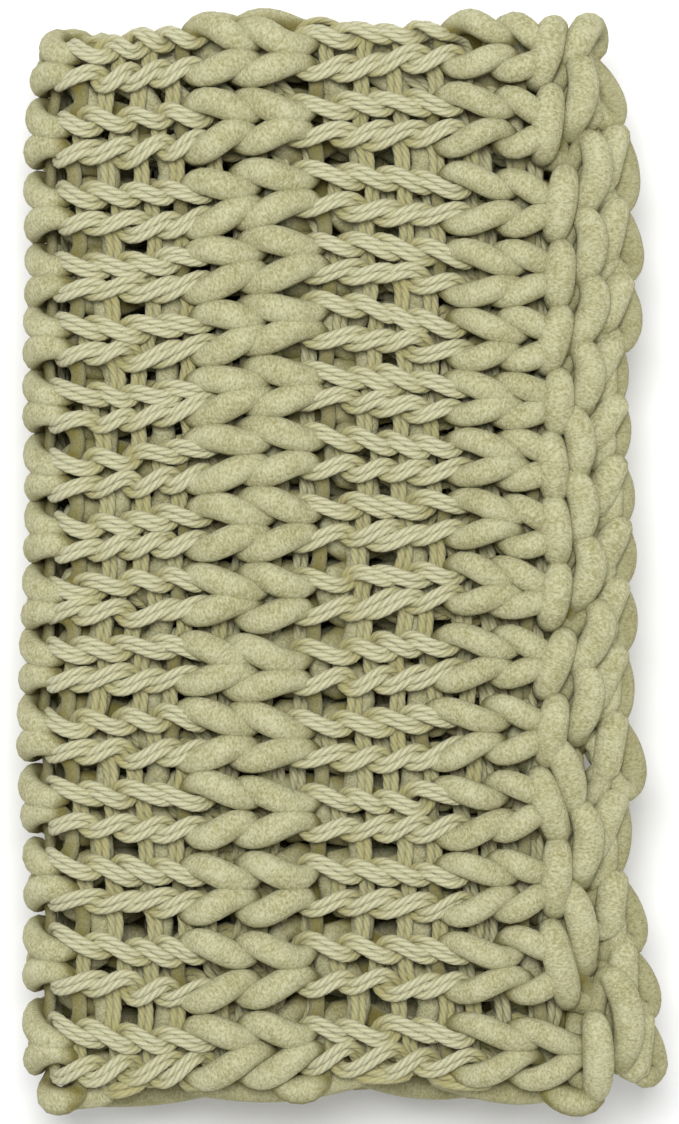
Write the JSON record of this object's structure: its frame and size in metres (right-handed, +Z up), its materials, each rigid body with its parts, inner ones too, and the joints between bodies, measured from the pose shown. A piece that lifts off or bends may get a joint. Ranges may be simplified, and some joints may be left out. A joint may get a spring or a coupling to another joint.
{
  "type": "chunky knit blanket",
  "caption": "Chunky knit throw in velvety chenille and twisted cord, folded in half and then in three, lying flat.",
  "frame": {"origin": "on the floor, under the middle of the folded throw", "axes": "+Z up, +Y towards the first fold, along the throw's longest side, +X towards the cast-on edge of the top layer"},
  "size_m": [0.457, 0.7634, 0.1595],
  "materials": {
    "knit": "matt"
  },
  "bodies": {
    "root": {"knit_blanket": "knit"}
  },
  "joints": []
}
